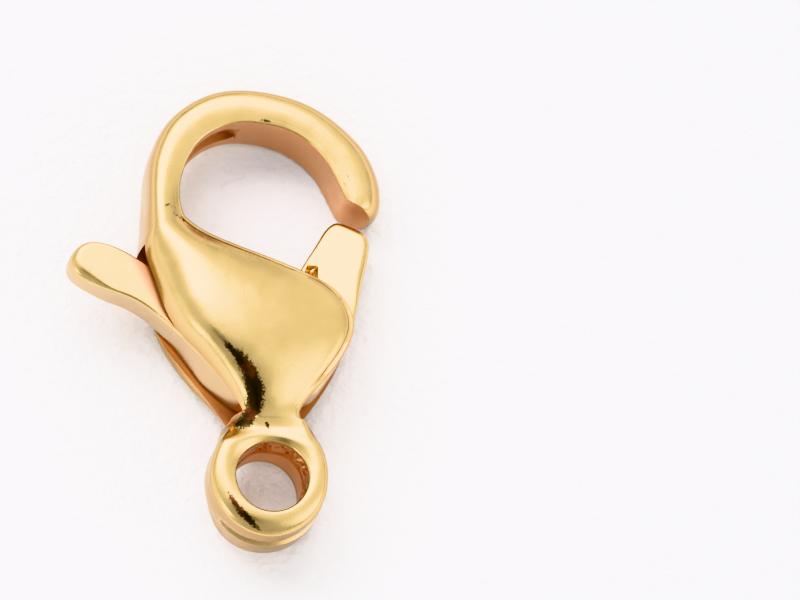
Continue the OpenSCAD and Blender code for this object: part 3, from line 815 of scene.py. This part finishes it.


# Painted dark marks on the front, each a line of points with x, y, half width and strength: painted shade
# in two faint creases at the throat's corner and in a nick on the hook's rim, a painted dark reflection of
# the camera in the valley above the eye, another on the eye's round, a small dark mark over its hole, and
# painted shade in two small dents near the hook's end
PAINTED_DARK_MARKS = [
    [(-2.82, 7.03, 0.05, 0.16), (-2.68, 7.07, 0.05, 0.24), (-2.51, 6.98, 0.05, 0.18)],
    [(-2.58, 6.86, 0.06, 0.20), (-2.34, 6.70, 0.08, 0.28)],
    [(-0.30, 9.52, 0.04, 0.4), (-0.18, 9.52, 0.05, 0.6), (-0.06, 9.50, 0.03, 0.4)],
    [(-1.34, 3.42, 0.02, 1), (-0.98, 3.03, 0.12, 1), (-0.62, 2.61, 0.24, 1), (-0.47, 2.20, 0.29, 1),
     (-0.50, 1.76, 0.24, 1), (-0.69, 1.44, 0.25, 1), (-0.90, 1.37, 0.06, 0.8)],
    [(-1.14, -0.52, 0.03, 0.5), (-1.08, -0.62, 0.08, 0.7), (-0.84, -0.96, 0.12, 0.75),
     (-0.59, -1.21, 0.12, 0.7), (-0.32, -1.42, 0.03, 0.4)],
    [(-0.14, 1.42, 0.05, 0.6), (-0.11, 1.30, 0.06, 0.6)],
    [(1.93, 8.17, 0.05, 0.25), (1.97, 8.07, 0.06, 0.28)],
    [(1.84, 7.99, 0.05, 0.2), (1.90, 7.91, 0.06, 0.25)],
]


def painted_mark_value(flat):
    """A patch's strength on its middle line, falling straight to 0 at its half width; both run evenly
    from one point of the line to the next. Only points of the front get any."""
    value = np.zeros(len(flat))
    for patch in PAINTED_DARK_MARKS:
        for start, end in zip(np.array(patch[:-1]), np.array(patch[1:])):
            step = end[:2] - start[:2]
            t = np.clip((flat[:, :2] - start[:2]) @ step / (step @ step), 0, 1)
            away = np.hypot(*(flat[:, :2] - start[:2] - t[:, None] * step).T)
            half, strength = (start[k] + t * (end[k] - start[k]) for k in (2, 3))
            value = np.maximum(value, strength * (1 - away / half))
    return value * (flat[:, 2] > 0.5)


# Painted shade on the tab's band under the front shell's edge, which the shell shades and mirrors on it:
# a point of the edge and the direction across it, the band's shade value and how wide its start is
TAB_BAND, TAB_RED, TAB_SOFT = np.array([[-3.56, 5.52], [0.881, 0.472]]), 1.4, 0.32


def shaded_tab(flat):
    """Painted shade of the tab's front: a smooth step across the band that lies against the front shell's
    edge, and another up the tab."""
    over = (flat[:, :2] - TAB_BAND[0]) @ TAB_BAND[1]
    on_tab = smoothstep(4.0, 4.6, flat[:, 1]) * (flat[:, 0] < -1.5) * (flat[:, 2] > 0.3)
    return TAB_RED * smoothstep(0.0, TAB_SOFT, over) * on_tab


def marked(piece, name, rule):
    """Stores what rule gives for every point, flat and in millimetres, as the piece's attribute name."""
    mesh = piece.data
    place = np.empty(3 * len(mesh.vertices))
    mesh.vertices.foreach_get("co", place)
    mesh.attributes.new(name, "FLOAT", "POINT").data.foreach_set("value", rule(unlaid(place.reshape(-1, 3))))
    return piece


# painted dark marks on the body's front: shade in creases, a nick and dents, and reflections of the camera
body = marked(polished(solid("clasp_body", body_piece()), width=0.02), "painted_dark_mark", painted_mark_value)
# painted shade on the lever's tab, in the band under the front shell's edge
lever = marked(polished(lever_piece(), width=0, angle=50), "painted_recess_shade", shaded_tab)
spring = polished(solid("strip_spring", bar(spring_path(), SPRING_W, SPRING_T)), width=0, angle=50)
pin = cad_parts["pivot_pin"]

# Camera: the photo looks down at 72.5 degrees on the flat clasp, rolled 9.5 degrees about its length.
# 39.2 pixels are one millimetre and the eye's centre is at pixel (266.5, 487) of 800 by 600.
PICTURE, PIXELS, EYE_PIXEL = (800, 600), 39.2, (266.5, 487.0)
VIEW, PHOTO_ROLL, FAR, SENSOR = radians(72.5), radians(9.5), 0.42, 36


def from_photo(v):
    """A direction of the photo's view in the flat clasp's frame, laid down as the clasp lies."""
    x, y, z = v
    flat = (x * cos(PHOTO_ROLL) - z * sin(PHOTO_ROLL), y, x * sin(PHOTO_ROLL) + z * cos(PHOTO_ROLL))
    return Vector(laid(flat) / MM)


right_of_view = from_photo((1, 0, 0))
up_of_view = from_photo((0, sin(VIEW), cos(VIEW)))
to_camera = from_photo((0, -cos(VIEW), sin(VIEW)))
aside, above = PICTURE[0] / 2 - EYE_PIXEL[0], EYE_PIXEL[1] - PICTURE[1] / 2
middle = MM / PIXELS * (aside * right_of_view + above * up_of_view)
turned = Matrix((right_of_view, up_of_view, to_camera)).transposed().to_4x4()
camera = bpy.data.objects.new("camera", bpy.data.cameras.new("camera"))
camera.matrix_world = Matrix.Translation(middle + FAR * to_camera) @ turned
camera.data.sensor_width = SENSOR
camera.data.lens = SENSOR * FAR / (PICTURE[0] * MM / PIXELS)
camera.data.clip_start, camera.data.clip_end = 0.01, 10
bpy.context.collection.objects.link(camera)
bpy.context.scene.camera = camera

# Floor: a white sheet at the lowest height of the CAD model, which reaches this far, in metres
FLOOR_REACH = 0.3
corners = FLOOR_REACH * np.array([[-1, -1], [1, -1], [1, 1], [-1, 1]])
corners = np.column_stack([corners, np.full(4, cad_box[0][2])])
floor_mesh = bpy.data.meshes.new("floor")
floor_mesh.from_pydata(corners.tolist(), [], [(0, 1, 2, 3)])
floor = bpy.data.objects.new("floor", floor_mesh)
bpy.context.collection.objects.link(floor)

# Colours of the picture are kept as they are and only the brightest rolled off to white
bpy.context.scene.view_settings.view_transform = "Khronos PBR Neutral"


def hex_linear(code):
    """An sRGB hex colour as linear red, green, blue and alpha."""
    c = np.array([int(code[i:i + 2], 16) / 255 for i in (1, 3, 5)])
    return (*np.where(c <= 0.04045, c / 12.92, ((c + 0.055) / 1.055) ** 2.4), 1.0)


def node(tree, kind, links=None, **settings):
    """Adds one node: settings name its properties or its inputs, links give its inputs by name or number.
    A Map Range's inputs 1 to 4 are the span that it reads and the span that it gives."""
    made = tree.nodes.new(kind)
    for key, value in settings.items():
        if hasattr(made, key):
            setattr(made, key, value)
        else:
            made.inputs[key.replace("_", " ")].default_value = value
    for key, value in (links or {}).items():
        if hasattr(value, "node"):
            tree.links.new(value, made.inputs[key])
        else:
            made.inputs[key].default_value = value
    return made


def toward(tilt, turn):
    """A direction from its angle off the flat clasp's front and its turn from +X, both in degrees."""
    t, c = radians(tilt), radians(turn)
    return Vector(laid((sin(t) * cos(c), sin(t) * sin(c), cos(t))) / MM)


# Lamps of the tent: tilt, turn, inner and outer angle of the soft edge, strength. Then the camera's dark
# round: its inner and outer angle and the level that stays
LAMPS = [
    (0, 0, 179, 180, 0.48),
    (34, 70, 25, 58, 0.42),
    (32, 102, 12, 26, 7.0),
    (50, -22, 9, 22, 3.6),
    (55, 165, 22, 48, 0.32),
    (84, 188, 5, 20, 0.5),
    (76, 214, 6, 13, 5.0),
]
CAMERA_DARK = (7, 12, 0.03)


def studio():
    """The sky of a light tent as one shader: an even level plus soft round lamps, each a smooth step of
    the angle between the ray and the lamp's middle, times another for the dark round of the camera."""
    world = bpy.data.worlds.new("light_tent")
    bpy.context.scene.world = world
    world.use_nodes = True
    tree = world.node_tree
    tree.nodes.clear()
    ray = node(tree, "ShaderNodeTexCoord").outputs["Generated"]
    total = None
    for tilt, turn, inner, outer, strength in LAMPS:
        near = node(tree, "ShaderNodeVectorMath", {0: ray, 1: toward(tilt, turn)}, operation="DOT_PRODUCT")
        part = node(tree, "ShaderNodeMapRange", {0: near.outputs["Value"], 1: cos(radians(outer)),
                    2: cos(radians(inner)), 3: 0.0, 4: strength}, interpolation_type="SMOOTHSTEP").outputs[0]
        if total is not None:
            part = node(tree, "ShaderNodeMath", {0: total, 1: part}, operation="ADD").outputs[0]
        total = part
    inner, outer, level = CAMERA_DARK
    near = node(tree, "ShaderNodeVectorMath", {0: ray, 1: to_camera}, operation="DOT_PRODUCT")
    keep = node(tree, "ShaderNodeMapRange", {0: near.outputs["Value"], 1: cos(radians(outer)),
                2: cos(radians(inner)), 3: 1.0, 4: level}, interpolation_type="SMOOTHSTEP")
    glow = node(tree, "ShaderNodeMath", {0: total, 1: keep.outputs[0]}, operation="MULTIPLY")
    back = node(tree, "ShaderNodeBackground", {1: glow.outputs[0]}, Color=hex_linear("#FFFFFF"))
    node(tree, "ShaderNodeOutputWorld", {0: back.outputs[0]})


studio()

# Lamps over the sheet: tilt, turn and energy of each, then their size and distance
SHEET_LAMPS, LAMP_SIZE, LAMP_AWAY = ((46, 140, 2.4), (19, 238, 1.2)), 0.32, 0.5


def sheet_lamp(tilt, turn, energy):
    """A wide soft lamp that mirrors don't show, so that the sheet comes out near white."""
    data = bpy.data.lights.new("sheet_lamp", "AREA")
    data.shape, data.size, data.energy = "DISK", LAMP_SIZE, energy
    lamp = bpy.data.objects.new("sheet_lamp", data)
    way = toward(tilt, turn)
    facing = way.to_track_quat("Z", "Y").to_matrix().to_4x4()
    lamp.matrix_world = Matrix.Translation(LAMP_AWAY * way) @ facing
    lamp.visible_glossy = False
    bpy.context.collection.objects.link(lamp)


for lamp_values in SHEET_LAMPS:
    sheet_lamp(*lamp_values)
# Enough bounces for the gold to mirror itself inside the slot
bpy.context.scene.cycles.glossy_bounces = 8


def plated_gold(name, painted_flank_shade):
    """Polished steel with a thin gold plating: a warm mirror, faintly mottled and wavy from the casting
    under it, with painted shade that makes it browner where flanks are seen steeply, and redder, browner
    and duller in recesses, where shade and the gold's own reflections fall, and with ragged dark brown
    patches of painted shade and painted reflection of the camera. The mottle is 0.5 mm wide, the wave
    0.7 mm and the grain 0.055 mm, which is coarser than a real one so that it shows."""
    material = bpy.data.materials.new(name)
    material.use_nodes = True
    tree = material.node_tree
    tree.nodes.clear()
    place = node(tree, "ShaderNodeTexCoord").outputs["Object"]
    mottle = node(tree, "ShaderNodeTexNoise", {"Vector": place, "Scale": 1 / (0.5 * MM), "Detail": 4.0})
    tint = node(tree, "ShaderNodeValToRGB", {0: mottle.outputs["Fac"]})
    brown = node(tree, "ShaderNodeValToRGB", {0: mottle.outputs["Fac"]})
    golds, browns = ((0.3, "#F2CF8A"), (0.7, "#F7D693")), ((0.50, "#2A1D12"), (0.62, "#6E3B28"))
    for ramp, values in ((tint, golds), (brown, browns)):
        for stop, (position, code) in zip(ramp.color_ramp.elements, values):
            stop.position, stop.color = position, hex_linear(code)
    # painted shade of recesses: redder, browner above 1, and duller
    painted_recess_shade = node(tree, "ShaderNodeAttribute", attribute_name="painted_recess_shade").outputs["Fac"]
    # painted shade: where the surface is seen steeply, as on the flanks, it is mixed towards the darker
    # flank colour
    slant = node(tree, "ShaderNodeLayerWeight", Blend=0.5).outputs["Facing"]
    steep = node(tree, "ShaderNodeMapRange", {0: slant, 1: 0.22, 2: 0.64, 3: 0.0, 4: 1.0},
                 interpolation_type="SMOOTHSTEP")
    shaded_flanks = node(tree, "ShaderNodeMix", {0: steep.outputs[0], 6: tint.outputs[0], 7: hex_linear(painted_flank_shade)},
               data_type="RGBA")
    red = node(tree, "ShaderNodeMix", {0: painted_recess_shade, 6: shaded_flanks.outputs[2], 7: hex_linear("#D69A6D")},
               data_type="RGBA")
    over = node(tree, "ShaderNodeMath", {0: painted_recess_shade, 1: 1.0}, operation="SUBTRACT")
    deepest = node(tree, "ShaderNodeMix", {0: over.outputs[0], 6: red.outputs[2], 7: hex_linear("#A9683A")},
                   data_type="RGBA")
    rough = node(tree, "ShaderNodeMapRange", {0: mottle.outputs["Fac"], 1: 0.3, 2: 0.7, 3: 0.21, 4: 0.29})
    dull = node(tree, "ShaderNodeMath", {0: painted_recess_shade, 1: 0.12, 2: rough.outputs[0]}, operation="MULTIPLY_ADD")
    # painted dark marks: shade in creases and dents and dark reflections of the camera, with ragged edges
    painted_dark_mark = node(tree, "ShaderNodeAttribute", attribute_name="painted_dark_mark").outputs["Fac"]
    grain = node(tree, "ShaderNodeTexNoise", {"Vector": place, "Scale": 1 / (0.055 * MM), "Detail": 3.0})
    ragged = node(tree, "ShaderNodeMath", {0: grain.outputs["Fac"], 1: 1.3, 2: painted_dark_mark},
                  operation="MULTIPLY_ADD")
    patch = node(tree, "ShaderNodeMapRange", {0: ragged.outputs[0], 1: 0.72, 2: 1.0, 3: 0.0, 4: 0.97})
    gated = node(tree, "ShaderNodeMapRange", {0: painted_dark_mark, 1: 0.0, 2: 0.12, 3: 0.0, 4: patch.outputs[0]})
    with_painted_marks = node(tree, "ShaderNodeMix", {0: gated.outputs[0], 6: deepest.outputs[2], 7: brown.outputs[0]},
                   data_type="RGBA")
    bump = node(tree, "ShaderNodeBump", {"Height": grain.outputs["Fac"]}, Strength=0.24, Distance=0.005 * MM)
    wave = node(tree, "ShaderNodeTexNoise", {"Vector": place, "Scale": 1 / (0.7 * MM), "Detail": 1.0})
    wavy = node(tree, "ShaderNodeBump", {"Height": wave.outputs["Fac"], "Normal": bump.outputs[0]},
                Strength=0.5, Distance=0.02 * MM)
    surface = {"Base Color": with_painted_marks.outputs[2], "Roughness": dull.outputs[0], "Normal": wavy.outputs[0]}
    shader = node(tree, "ShaderNodeBsdfPrincipled", surface, Metallic=1.0,
                  Specular_Tint=hex_linear("#FFFFF2"))
    node(tree, "ShaderNodeOutputMaterial", {0: shader.outputs[0]})
    return material


def white_sheet():
    """Matt white coated paper under the clasp: near white, with soft shadows and a tooth 0.24 mm wide."""
    material = bpy.data.materials.new("white_sheet")
    material.use_nodes = True
    tree = material.node_tree
    tree.nodes.clear()
    place = node(tree, "ShaderNodeTexCoord").outputs["Object"]
    tooth = node(tree, "ShaderNodeTexNoise", {"Vector": place, "Scale": 1 / (0.24 * MM), "Detail": 2.0})
    bump = node(tree, "ShaderNodeBump", {"Height": tooth.outputs["Fac"]}, Strength=1.0, Distance=0.09 * MM)
    shader = node(tree, "ShaderNodeBsdfPrincipled", {"Normal": bump.outputs[0]}, Roughness=0.8)
    shader.inputs["Base Color"].default_value = hex_linear("#DDDBDE")
    node(tree, "ShaderNodeOutputMaterial", {0: shader.outputs[0]})
    return material


# the flank colours are painted shade on steep flanks: darker on the body, lighter on the lever's wall
body_gold = plated_gold("gold_plated_body", "#A37D50")
lever_gold = plated_gold("gold_plated_lever", "#C4A480")
for piece, gold in ((body, body_gold), (lever, lever_gold), (spring, body_gold)):
    piece.data.materials.append(gold)
pin.material_slots[0].material = body_gold
floor_mesh.materials.append(white_sheet())

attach(body, "clasp")
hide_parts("body")
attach(lever, "lever")
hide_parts("lever")
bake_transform(spring)
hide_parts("spring")
